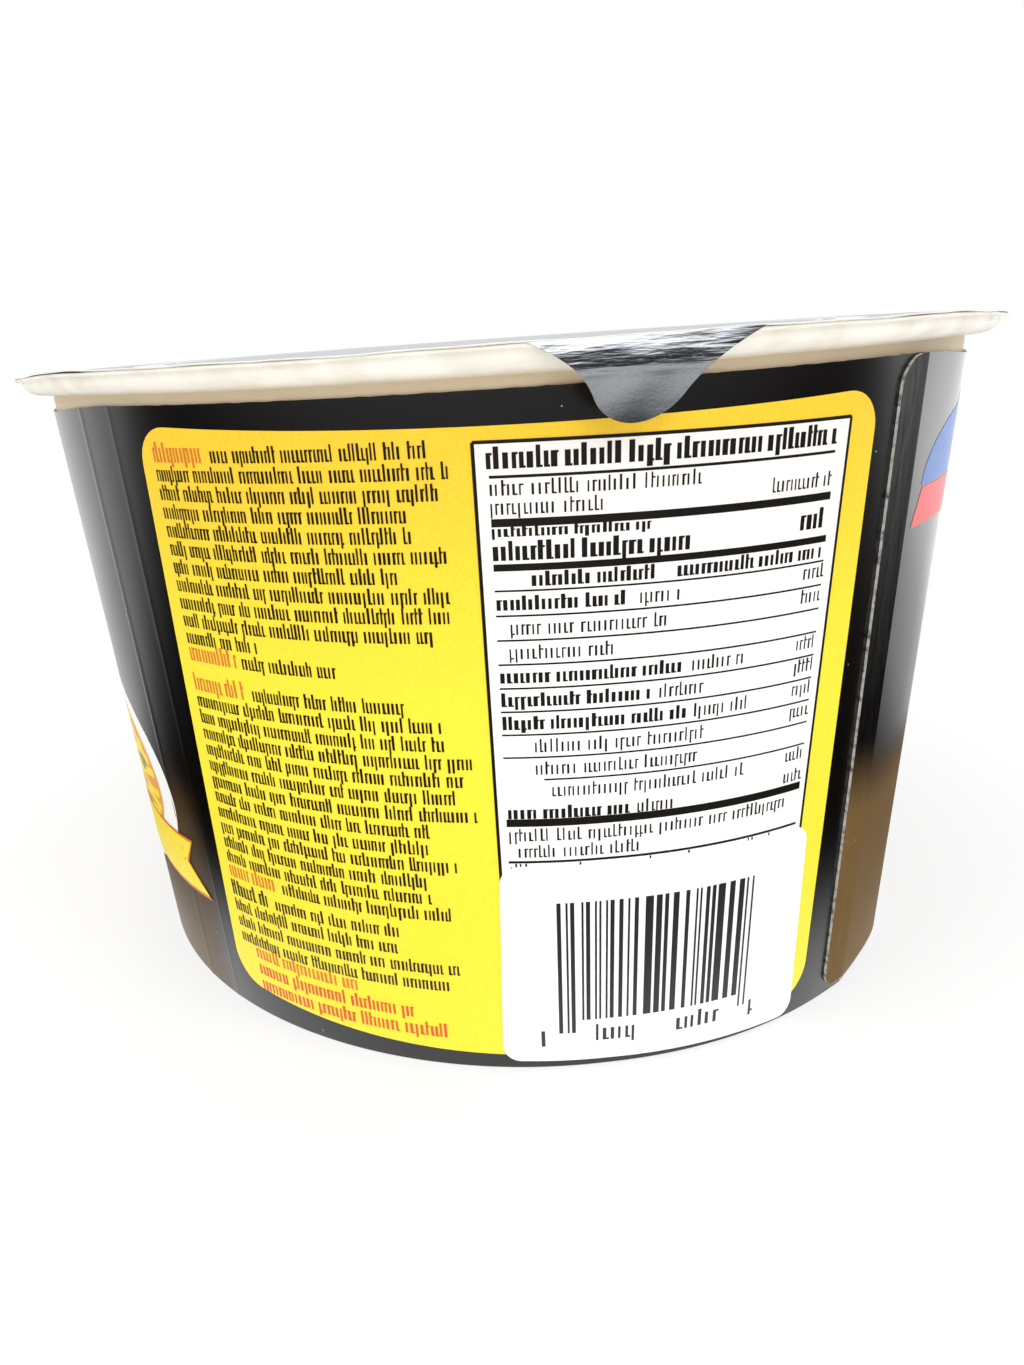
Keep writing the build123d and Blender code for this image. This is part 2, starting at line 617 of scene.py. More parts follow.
@dataclass(frozen=True)
class Wall:
    """Outer face of the sleeve: a cone with soft corners along its creases."""

    bottom: float
    top: float
    bottom_radius: float
    top_radius: float
    lap_angle: float = 41.6
    lap_degrees: float = 16.0
    lap_fade: float = 7.0
    lap_rise: float = 0.38
    corners: tuple[Corner, ...] = (
        Corner(43.0, 33.0, 26.0, 1.0, 0.45, 1.0),
        Corner(45.4, 3.8, 8.0, 0.3, 0.34),
        Corner(-49.5, 0.7, 0.9, 0.05, 0.06, 1.0),
        Corner(-42.4, 0.5, 0.6, 0.03, 0.03, 1.0),
        Corner(-133.0, 9.0, 9.0, 0.35, 0.35),
        Corner(130.5, 8.0, 8.0, 0.3, 0.3),
    )

    @classmethod
    def from_frame(cls) -> "Wall":
        """Measures the cone on the CAD sleeve, on the side away from its lap.

        Returns:
            The wall.
        """
        points = node_points("sleeve")
        plain = points[points[:, 0] < 0]
        away = np.hypot(plain[:, 0], plain[:, 1])
        low, high = plain[:, 2].min(), plain[:, 2].max()
        low_radius = away[plain[:, 2] < low + 0.05].max()
        high_radius = away[plain[:, 2] > high - 0.05].max()
        return cls(float(low), float(high), float(low_radius), float(high_radius))

    def share(self, height: Array) -> Array:
        """How far up the face a height lies, from 0 at its foot to 1 at its top."""
        return (height - self.bottom) / (self.top - self.bottom)

    def cone(self, height: Array) -> Array:
        """Radius of the plain cone, which is linear in height."""
        return self.bottom_radius + (self.top_radius - self.bottom_radius) * self.share(height)

    def radius(self, angle: Array, height: Array) -> Array:
        """Radius of the face: the cone's, to which each corner adds a tent over its two widths.

        Args:
            angle: degrees round the cup.
            height: millimetres above the foot.

        Returns:
            The radius, in millimetres.
        """
        share, result = self.share(height), self.cone(height)
        for corner in self.corners:
            off = wrapped(angle - corner.angle)
            tent = np.clip(1 - np.abs(off) / np.where(off < 0, corner.before, corner.after), 0, 1)
            rise = corner.low + (corner.high - corner.low) * share
            result = result + tent ** corner.sharpness * rise
        return result

    def point(self, angle: Array, height: Array, lift: Array | float) -> Array:
        """Points on the face, moved out by a lift."""
        return around(self.radius(angle, height) + lift, np.radians(angle), height)

    def lap_lift(self, turned: Array) -> Array:
        """How far the outer layer lies off the cone after turning from its end: a smooth fall."""
        end = self.lap_degrees + self.lap_fade
        return self.lap_rise * (1 - smooth(turned, self.lap_degrees, end))

    def degrees(self, length: float, height: float) -> float:
        """The angle that an arc of a length takes at a height."""
        return math.degrees(length / self.cone(height))


# ---------------------------------------------------------------- cup, lid, sleeve


@dataclass
class Cup:
    """The ivory cup: foot ring, tapered wall, neck, rolled rim and thin lip."""

    wall: Wall
    material: bpy.types.Material
    board: float = 0.52
    rim_depth: float = 2.5
    neck_radius: float = 65.4
    neck_length: float = 1.2
    roll_inner: float = 66.4
    roll_outer: float = 69.35
    roll_start: float = -0.12
    lip_radius: float = 70.2
    lip_thickness: float = 0.42
    foot_width: float = 5.5
    foot_round: float = 1.0
    recess: float = 3.2
    recess_round: float = 1.6
    ring_start: float = 6.0
    ring_pitch: float = 9.0
    ring_depth: float = 0.35
    ripple: tuple[tuple[float, float, float], ...] = ((0.05, 5, 1), (0.035, 13, 2), (0.02, 29, 0))
    steps: int = 300

    def outline(self, top: float) -> Array:
        """The turned outline: recess with rings, foot, wall, neck, elliptical roll, lip and top.

        Args:
            top: height of the rim.

        Returns:
            Rows of radius and height.
        """
        base = self.wall.bottom_radius - self.board
        foot, low, quarter = base - self.foot_width, top - self.rim_depth, np.pi / 2
        points = [(0, self.recess)]
        for ring in np.arange(self.ring_start, foot - 4, self.ring_pitch):
            deep = self.recess - self.ring_depth
            points += [(ring, self.recess), (ring + 0.5, deep), (ring + 1.1, deep)]
            points += [(ring + 1.6, self.recess)]
        soft, edge = self.recess_round, self.foot_round
        points += arc((foot - soft, self.recess - soft), (soft, soft), np.pi, quarter, 9)
        points += arc((foot + edge, edge), (edge, edge), -quarter, 0, 9)
        points += arc((base - edge, edge), (edge, edge), 0, quarter, 9)
        neck = self.neck_radius
        points += [(neck, low - self.neck_length), (neck, low + 0.15)]
        points += [(neck + 0.12, low + 0.28), (neck + 0.45, low + 0.12)]
        centre = top - self.lip_thickness
        size = (self.roll_outer - self.roll_inner, self.rim_depth - self.lip_thickness)
        points += arc((self.roll_inner, centre), size, self.roll_start, quarter, 16)
        points += [(self.roll_outer + 0.12, centre + 0.02)]
        half = self.lip_thickness / 2
        points += arc((self.lip_radius - half, top - half), (half, half), 0, np.pi, 7)
        return np.array(points + [(self.roll_inner, top), (0, top)])

    def build(self) -> bpy.types.Object:
        """Turns the outline, with a bow and small waves along the rim.

        Returns:
            The cup.
        """
        radii, heights = self.outline(float(node_points("cup")[:, 2].max())).T
        turn = np.linspace(0, 2 * np.pi, self.steps, endpoint=False)
        reach = radii[:, None] - self.neck_radius
        rim = np.clip(reach / 4, 0, 1) * (reach > 0.3)
        net = Net()
        net.lathe(radii, heights, rim * (waves(turn, self.ripple) + RIM_BOW.at(np.degrees(turn))))
        return net.make("cup_shell", [self.material], Slot.CUP, ("cup",))


@dataclass
class Lid:
    """The foil lid, with its seal ring and a bell-shaped tab bent down over the rim."""

    foil: bpy.types.Material
    tab_foil: bpy.types.Material
    under: bpy.types.Material
    thickness: float = 0.16
    sink: float = 0.18
    seal_radius: float = 65.4
    wave_radius: float = 67.0
    groove: float = 0.12
    ripple: tuple[tuple[float, float, float], ...] = ((0.07, 6, 0.5), (0.05, 17, 2), (0.03, 41, 0))
    steps: int = 360
    tab_angle: float = 12.0
    tab_length: float = 8.1
    tab_skew: float = 1.8
    tip_radius: float = 4.9
    flare: float = 0.2
    flare_start: float = 2.4
    flare_power: float = 2.1
    bend_at: tuple[float, ...] = (0, 0.3, 2.4, 3.0, 3.8, 8.0)
    bend_slope: tuple[float, ...] = (38, 70, 79, 87, 95.5, 99)
    pucker: float = 0.02
    corner_lift: float = 0.5

    def build_disc(self, net: Net, radius: float, top: float) -> None:
        """Adds the disc: a turned thin outline with a shallow groove inside the seal ring.

        Args:
            net: where it goes.
            radius: its radius.
            top: height of its upper face.
        """
        low, step, deep = top - self.thickness, top - 0.05, top - self.groove
        outline = [(0, low), (30, low), (56, low), (62, low), (radius - 0.1, low)]
        outline += [(radius, low + 0.05), (radius, top - 0.04), (radius - 0.06, top)]
        outline += [(radius - 2, top), (66.4, top), (65.6, step), (64.6, deep), (62.0, deep)]
        outline += [(61.0, step), (60.0, top), (50.0, top), (40.0, top), (28.0, top), (14.0, top)]
        radii, heights = np.array(outline + [(0, top)]).T
        turn = np.linspace(0, 2 * np.pi, self.steps, endpoint=False)
        rise = np.clip((radii[:, None] - self.wave_radius) / 3.4, 0, 1) ** 2
        rim = np.clip((radii[:, None] - self.seal_radius) / 4, 0, 1)
        net.lathe(radii, heights, rise * waves(turn, self.ripple) + rim * RIM_BOW.at(np.degrees(turn)))

    def tab_outline(self, run: Array) -> Array:
        """Half width of the tab at a length from its fold.

        The tip is a circle, to which a power of the length past the flare's start is added.

        Args:
            run: lengths from the fold.

        Returns:
            The half widths.
        """
        left = self.tab_length - run
        tip = np.sqrt(np.clip(2 * self.tip_radius * left - left ** 2, 0, None))
        return tip + self.flare * np.clip(left - self.flare_start, 0, None) ** self.flare_power

    def build_tab(self, net: Net, radius: float, top: float) -> None:
        """Adds the tab: a strip that drops from the lid's edge along a curve of changing slope.

        Rows follow the strip's length, and columns go across it. Its right corner stands off a
        little near the fold.

        Args:
            net: where it goes.
            radius: the lid's radius.
            top: height of the lid's upper face.
        """
        run = self.tab_length * (1 - np.linspace(1, 0, 46) ** 1.6)
        run[-1] = self.tab_length - 0.004
        slope = np.radians(np.interp(run, self.bend_at, self.bend_slope))[:, None]
        step, half = np.diff(run, prepend=0)[:, None], self.tab_outline(run)[:, None]
        run = run[:, None]
        out, drop = np.cumsum(step * np.cos(slope), 0), np.cumsum(step * np.sin(slope), 0)
        side = half * np.linspace(-1, 1, 41)
        turn = np.radians(self.tab_angle) + (side - self.tab_skew * run / self.tab_length) / radius
        pucker = self.pucker * np.sin(side * 0.9 + 0.5 * run) * np.clip(run / 2, 0, 1)
        corner = np.clip(side / half.max() - 0.55, 0, 1)
        away = radius - 0.05 + out + pucker + self.corner_lift * corner * np.exp(-run / 1.5)
        height = top - 0.02 - drop + RIM_BOW.at(np.degrees(turn))
        front, back = (
            around(away - deep * np.sin(slope), turn, height - deep * np.cos(slope))[::-1]
            for deep in (0.0, self.thickness))
        net.sheet(front, back, (1, 2, 2))

    def build(self) -> bpy.types.Object:
        """Builds disc and tab as one piece.

        Returns:
            The lid.
        """
        points = node_points("lid")
        radius = float(np.hypot(points[:, 0], points[:, 1]).max())
        top = float(points[:, 2].max()) - self.sink
        net = Net()
        self.build_disc(net, radius, top)
        self.build_tab(net, radius, top)
        return net.make("lid_foil", [self.foil, self.tab_foil, self.under], Slot.LID, ("lid",))


@dataclass
class Sleeve:
    """The board sleeve: one sheet wrapped round the cup, its outer end lapped over its inner one."""

    wall: Wall
    print_board: bpy.types.Material
    edge: bpy.types.Material
    core: bpy.types.Material
    board: float = 0.34
    rise_bottom: float = 1.2
    corner_top: float = 3.8
    corner_bottom: float = 2.0
    jag: float = 0.035
    strip_degrees: float = 3.8
    art_turned: tuple[float, ...] = (0, 230, 272, 277)
    art_amount: tuple[float, ...] = (1.0, 1.0, 0.5, 0.0)
    end_columns: tuple[float, ...] = (0, 0.04, 0.15, 0.35, 0.65, 1.05, 1.5, 2.1, 2.8, 3.5)

    def build(self) -> bpy.types.Object:
        """Lays a grid along the sheet, with rounded corners at its outer end.

        Columns lie a degree apart, closer at the outer end, and on each crease and its two sides.

        Returns:
            The sleeve.
        """
        whole = 360 + self.wall.lap_degrees
        creases = [(corner.angle + side - self.wall.lap_angle) % 360 for corner in self.wall.corners
                   for side in (-min(corner.before, 1), 0, min(corner.after, 1))]
        columns = np.concatenate([self.end_columns, np.arange(4, whole + 0.5, 1.0), creases])
        turned = np.unique(np.round(columns, 4))
        middle = np.linspace(0.025, 0.975, 26)
        share = np.concatenate([[0, 0.004, 0.012], middle, [0.988, 0.996, 1]])[:, None]
        along = np.radians(turned) * self.wall.top_radius
        angle = self.wall.lap_angle + turned
        low = self.wall.bottom + self.rise_bottom * (1 - turned / whole) ** 3
        low = low + rounding(self.corner_bottom, along)
        high = self.wall.top + SLEEVE_BOW.at(angle) - rounding(self.corner_top, along)
        high = high + self.jag * np.sin(turned * 7.3) * np.sin(turned * 2.9 + 1)
        height = low + (high - low) * share
        lift = self.wall.lap_lift(turned)
        net = Net()
        net.sheet(self.wall.point(angle, height, lift),
                  self.wall.point(angle, height, lift - self.board), (0, 2, 1))
        materials = [self.print_board, self.edge, self.core]
        piece = net.make("sleeve_board", materials, Slot.SLEEVE, ("sleeve",))
        strip = np.clip((self.strip_degrees - turned) / 0.4, 0, 1)
        art = np.interp(turned, self.art_turned, self.art_amount)
        for name, row in (("worn_strip", strip), ("art_side", art)):
            values = np.tile(np.broadcast_to(row, height.shape).ravel(), 2).astype(np.float32)
            attribute = piece.data.attributes.new(name, "FLOAT", "POINT")
            attribute.data.foreach_set("value", values)
        return piece


# ---------------------------------------------------------------- printing and label


@dataclass
class Printer:
    """Lays thin printed shapes on the wall."""

    wall: Wall
    skin: float = 0.02

    def spot(self, angle: Array, height: Array, lift: float) -> Array:
        """Points on the sleeve's outer layer, moved out by a lift."""
        rise = self.wall.lap_lift((angle - self.wall.lap_angle) % 360)
        return self.wall.point(angle, height, rise + lift)

    def grid(self, net: Net, angle: Array, height: Array, lift: float, skin: float = 0.0) -> None:
        """Adds a thin sheet over grids of angles and heights.

        Args:
            net: where the sheet goes.
            angle: degrees, rows upwards by columns to the right.
            height: millimetres, the same shape.
            lift: how far its face is off the wall.
            skin: its thickness, or 0 for a plain ink's.
        """
        back = self.spot(angle, height, lift - (skin or self.skin))
        net.sheet(self.spot(angle, height, lift), back)

    def scan(self, net: Net, height: Array, left: Array, right: Array, lift: float,
             tilt: float = 0.0, skin: float = 0.0) -> None:
        """Adds a shape given by its left and right edge at each height.

        Args:
            net: where the shape goes.
            height: row heights, from the lowest.
            left: left edge of each row, in degrees.
            right: right edge of each row.
            lift: how far its face is off the wall.
            tilt: height lost for each degree to the right.
            skin: its thickness, or 0 for a plain ink's.
        """
        columns = max(3, int(np.max(right - left)) + 2)
        share = np.linspace(0, 1, columns)[None]
        angle = left[:, None] + (right - left)[:, None] * share
        tall = height[:, None] - tilt * (angle - np.mean(left))
        self.grid(net, angle, tall, lift, skin)

    def ellipse(self, net: Net, angle: float, height: float, half_degrees: float,
                half_height: float, lift: float, turn_low: float = -88.5) -> None:
        """Adds an ellipse, or its upper part, by rows at cosine steps.

        Args:
            net: where it goes.
            angle: its middle, in degrees.
            height: its middle's height.
            half_degrees: its half width.
            half_height: its half height.
            lift: how far its face is off the wall.
            turn_low: where it starts: -88.5 for a whole ellipse, 0 for its upper half.
        """
        phi = np.radians(np.linspace(turn_low, 88.5, 30))
        wide = half_degrees * np.cos(phi)
        self.scan(net, height + half_height * np.sin(phi), angle - wide, angle + wide, lift)

    def marks(self, net: Net, blocks: Array, lift: float, tilt: float = 0.0,
              pivot: float = 0.0) -> None:
        """Adds small four-sided marks.

        Args:
            net: where they go.
            blocks: rows of left angle, right angle, low height and high height.
            lift: how far their faces are off the wall.
            tilt: height lost for each degree to the right of the pivot.
            pivot: the angle where the tilt starts.
        """
        left, right, low, high = blocks.T
        angle = np.stack([left, right, right, left], 1)
        height = np.stack([low, low, high, high], 1) - tilt * (angle - pivot)
        front = self.spot(angle, height, lift)
        back = self.spot(angle, height, lift - self.skin)
        net.boxes(np.concatenate([front, back], axis=1))

    def rule(self, net: Net, left: float, right: float, height: float, thick: float,
             lift: float, tilt: float, pivot: float) -> None:
        """Adds a straight rule, cut into pieces of about two degrees so that it follows the wall.

        Args:
            net: where it goes.
            left: where it starts, in degrees.
            right: where it ends.
            height: its middle's height.
            thick: its height.
            lift: how far its face is off the wall.
            tilt: height lost for each degree to the right of the pivot.
            pivot: the angle where the tilt starts.
        """
        pieces = max(2, int((right - left) / 2))
        angle = np.linspace(left, right, pieces + 1)
        tall = height + thick * np.array([[-0.5], [0.5]]) - tilt * (angle - pivot)
        self.grid(net, angle, tall, lift)


@dataclass(frozen=True)
class Script:
    """How a row of made-up print is drawn: groups of uprights, some with a short tick."""

    height: float
    stroke: float
    gap: float
    space: float = 0.7
    tick: float = 0.42

    def row(self, wall: Wall, left: float, right: float, base: float,
            draw: np.random.Generator) -> Array:
        """Strokes of one row.

        Each group holds a few uprights. Now and then one reaches higher or lower than the rest, and
        some carry a short tick at the top or the foot that stops before the next upright.

        Args:
            wall: the wall, for the width of a degree.
            left: where the row starts, in degrees.
            right: where it ends.
            base: the height of its foot.
            draw: the source of chance.

        Returns:
            Rows of left angle, right angle, low height and high height.
        """
        unit = wall.degrees(1.0, base)
        top, thick = base + self.height, self.height * 0.15
        count = int((right - left) / (self.stroke * unit)) + 4
        wide = self.stroke * unit * draw.uniform(0.85, 1.3, count)
        gap = self.gap * unit * draw.uniform(0.8, 1.3, count)
        ends = np.cumsum(draw.integers(4, 15, count))
        step = wide + gap + self.space * unit * np.isin(np.arange(count), ends)
        start = left + np.cumsum(step) - step
        kind, tick, foot = draw.uniform(size=(3, count))
        high = top + self.height * 0.38 * (kind < 0.2)
        low = base - self.height * 0.32 * (kind > 0.94)
        foot = np.where(foot < 0.5, base, top - thick)
        fits = start + wide <= right
        uprights = np.stack([start, start + wide, low, high], 1)[fits]
        ticks = np.stack([start + wide, start + wide + gap * 0.6, foot, foot + thick], 1)
        return np.concatenate([uprights, ticks[fits & (tick < self.tick)]])


@dataclass
class IngredientsPanel:
    """Yellow panel with rounded corners, columns of made-up print and a ruled white table."""

    wall: Wall
    printer: Printer
    inks: Inks
    low: float = 2.0
    high: float = 78.0
    left: float = -40.3
    left_lean: float = 2.7
    right: float = 37.4
    right_lean: float = 0.9
    corner: float = 4.5
    bow: float = 1.6
    bow_loss: float = 0.7
    bow_middle: float = 9.0
    bow_half: float = 38.0
    panel_lift: float = 0.03
    table_lift: float = 0.05
    ink_lift: float = 0.075
    table_left: float = -1.9
    table_right: float = 34.6
    table_top: float = 76.5
    table_bottom: float = 24.0
    table_tilt: float = 0.021
    line: float = 0.36
    row_pitch: float = 2.72
    body: Script = Script(1.3, 0.22, 0.23, 0.55)
    head: Script = Script(1.65, 0.27, 0.25, 0.5)
    last: Script = Script(1.45, 0.29, 0.27, 0.6)
    title: Script = Script(1.62, 0.5, 0.28, 0.5)
    small: Script = Script(0.85, 0.33, 0.24, 0.45)
    bold: Script = Script(1.15, 0.36, 0.25, 0.5)
    large: Script = Script(1.5, 0.46, 0.29, 0.5)
    plain: Script = Script(1.15, 0.19, 0.35, 0.6)

    def panel(self) -> None:
        """Builds the panel: rows whose ends follow the leaning sides and the rounded corners.

        The rows are bowed upwards by the square of the distance from the middle.
        """
        rows, inset = rounded_rows(self.low, self.high, self.corner, 6, 9, 30)
        share = (rows - self.low) / (self.high - self.low)
        inset = inset * math.degrees(1 / 62.0)
        left = (self.left + self.left_lean * share + inset)[:, None]
        right = (self.right + self.right_lean * share - inset)[:, None]
        angle = left + (right - left) * np.linspace(0, 1, 80)
        bow = (self.bow - self.bow_loss * share)[:, None]
        bow = bow * ((angle - self.bow_middle) / self.bow_half) ** 2
        net = Net()
        self.printer.grid(net, angle, rows[:, None] + bow, self.panel_lift)
        net.make("yellow_panel", [self.inks["yellow"]], Slot.SLEEVE)

    def column(self) -> None:
        """Builds the made-up print of the left column: dark rows, orange heads, red closing rows.

        Each block is given by the height and left end of its first row, the step down and the slip
        to the left from row to row, where its rows end, the length of a head and the step past it,
        the rows that start with a head, and where the heads go.
        """
        draw = np.random.default_rng(7)
        dark, warm, closing = [], [], []
        ends = draw.uniform(-9.5, -3.4, 40)
        first, second = ends[:12].copy(), ends[13:26].copy()
        first[10:] = -26.0, -17.0
        second[[0, 12]] = -9.5, -7.0
        blocks = (
            (75.2, -35.7, 2.19, 0.07, first, 7.2, 8.0, (0, 11), warm),
            (47.2, -36.8, 2.19, 0.07, second, 8.2, 9.0, (0, 12), warm),
            (18.1, -37.9, 2.35, 0.0, (-13.5, -14.0, -6.6, -7.4), 6.6, 7.6, (0,), dark),
        )
        for top, left, pitch, slip, stops, word, step, heads, kept in blocks:
            for i, stop in enumerate(stops):
                base, start = top - i * pitch, left - slip * i
                if i in heads:
                    kept.append(self.head.row(self.wall, start, start + word, base, draw))
                    start += step
                dark.append(self.body.row(self.wall, start, stop, base, draw))
        for i, stop in enumerate((-19.0, -12.5, -8.6)):
            row = self.last.row(self.wall, -35.6, stop, 9.2 - i * 2.5, draw)
            (closing if i else warm).append(row)
        sets = (("panel_print", dark, "black"), ("panel_heads", warm, "orange"),
                ("panel_closing", closing, "red"))
        for name, rows, ink in sets:
            net = Net()
            self.printer.marks(net, np.concatenate(rows), self.ink_lift)
            net.make(name, [self.inks[ink]], Slot.SLEEVE)

    def table_rows(self) -> Array:
        """Draws the table's rows of made-up print, from the title down to the closing rows.

        Returns:
            Rows of left angle, right angle, low height and high height.
        """
        draw = np.random.default_rng(11)
        title, plain, bold = self.title, self.plain, self.bold
        rows: list[Array] = []

        def add(face: Script, left: float, right: float, base: float) -> None:
            """Draws one row."""
            rows.append(face.row(self.wall, left, right, base, draw))

        for face, left, right, base in (
                (title, -0.8, 32.9, 73.8), (plain, -0.6, 18.4, 71.1), (plain, -0.6, 9.6, 69.15),
                (plain, 25.8, 32.6, 69.4), (self.small, -0.6, 14.0, 66.85),
                (self.large, -0.6, 18.6, 64.35), (title, 29.4, 32.8, 64.9),
                (bold, 2.8, 15.0, 61.55), (bold, 16.4, 32.6, 61.55)):
            add(face, left, right, base)
        starts = (-0.5, 0.7, 0.5, -0.5, -0.5, -0.5, 2.6, 2.6, 4.2, -0.4)
        stops = (16.8, 16.0, 10.5, 24.4, 19.8, 25.0, 20.2, 20.2, 24.8, 17.0)
        for i, (start, stop) in enumerate(zip(starts, stops)):
            face = bold if i in (0, 3, 4, 5, 9) else plain
            base = 59.0 - i * self.row_pitch
            middle = start + (stop - start) * (0.72 if face is bold else 1.0)
            add(face, start, middle, base)
            if face is bold:
                add(plain, middle + 0.9, stop, base)
            if i not in (2, 7):
                add(plain, 30.4, 32.9, base + 0.3)
        for left, right, base in ((-0.4, 31.6, 31.7), (0.5, 13.5, 29.6), (-0.4, 31.2, 27.2)):
            add(plain, left, right, base)
        return np.concatenate(rows)

    def table(self) -> None:
        """Builds the white table: its field, its border, its rules and its rows of made-up print."""
        left, right, tilt, lift = self.table_left, self.table_right, self.table_tilt, self.ink_lift
        white, ink = Net(), Net()
        heights = np.linspace(self.table_bottom, self.table_top, 20)
        down = (self.table_top - heights) / 50
        near, far = left + 0.4 * down, right - 0.9 * down
        self.printer.scan(white, heights, near, far, self.table_lift, tilt)
        half = self.wall.degrees(self.line, 50.0) / 2
        self.printer.scan(ink, heights, near - half, near + half, lift, tilt)
        self.printer.scan(ink, heights - tilt * (far - near), far - half, far + half, lift, tilt)
        inner, outer = left + 1.3, right - 1.7
        rules = [(left, right, self.table_top, self.line)]
        rules += [(inner, outer, height, thick) for height, thick in (
            (73.0, 0.3), (68.3, 0.85), (63.6, 0.75), (34.0, 0.95), (29.0, 0.3))]
        rules += [(inner if row < 8 else inner + 4, outer, 61.1 - row * self.row_pitch, 0.2)
                  for row in range(9)]
        for start, stop, height, thick in rules:
            self.printer.rule(ink, start, stop, height, thick, lift, tilt, left)
        self.printer.marks(ink, self.table_rows(), lift, tilt, left)
        white.make("table_field", [self.inks["white"]], Slot.SLEEVE)
        ink.make("table_print", [self.inks["black"]], Slot.SLEEVE)

    def build(self) -> None:
        """Builds panel, column and table."""
        self.panel()
        self.column()
        self.table()


@dataclass
class Label:
    """White stick-on label with a made-up bar pattern."""

    wall: Wall
    printer: Printer
    inks: Inks
    left: float = -2.4
    right: float = 35.2
    low: float = 1.3
    high: float = 28.4
    corner: float = 2.2
    tilt: float = 0.02
    lift: float = 0.19
    thickness: float = 0.12
    ink_lift: float = 0.22
    module: float = 0.254
    bars_left: float = 4.3
    bars_right: float = 27.6
    bars_top: float = 23.4
    bars_foot: float = 7.0
    guard_foot: float = 5.2

    def bars(self) -> Array:
        """Draws bars and gaps of whole modules by chance, longer near the two ends.

        Returns:
            Rows of left angle, right angle, low height and high height.
        """
        draw = np.random.default_rng(23)
        step = self.wall.degrees(self.module, 14.0)
        place, end, bars = self.bars_left, self.bars_right, []
        long_until, long_from = place + 9 * step, end - 7 * step
        while place < end:
            wide = step * int(draw.choice([1, 2, 3, 4], p=[0.5, 0.27, 0.15, 0.08]))
            guard = place < long_until or place > long_from
            foot = self.guard_foot if guard else self.bars_foot
            bars.append((place, min(place + wide * 0.92, end), foot, self.bars_top))
            place += wide + step * int(draw.choice([1, 2, 3], p=[0.45, 0.35, 0.2]))
        digits = Script(1.7, 0.34, 0.5, 0.1)
        small = [digits.row(self.wall, start, stop, 3.9, draw)
                 for start, stop in ((2.2, 3.3), (8.6, 14.0), (18.4, 23.8), (28.2, 29.2))]
        return np.concatenate([np.array(bars), *small])

    def build(self) -> None:
        """Builds the paper with rounded corners, and on it the bars with small marks under them."""
        rows, inset = rounded_rows(self.low, self.high, self.corner, 4, 8, 8)
        inset = inset * self.wall.degrees(1.0, (self.low + self.high) / 2)
        share = (rows - self.low) / (self.high - self.low)
        paper, ink = Net(), Net()
        self.printer.scan(paper, rows, self.left + 0.8 * share + inset,
                          self.right - 0.4 * share - inset, self.lift, self.tilt, self.thickness)
        self.printer.marks(ink, self.bars(), self.ink_lift, self.tilt, self.bars_left)
        paper.make("label_paper", [self.inks["label_paper"]], Slot.LABEL, ("label",))
        ink.make("label_bars", [self.inks["label_black"]], Slot.LABEL)


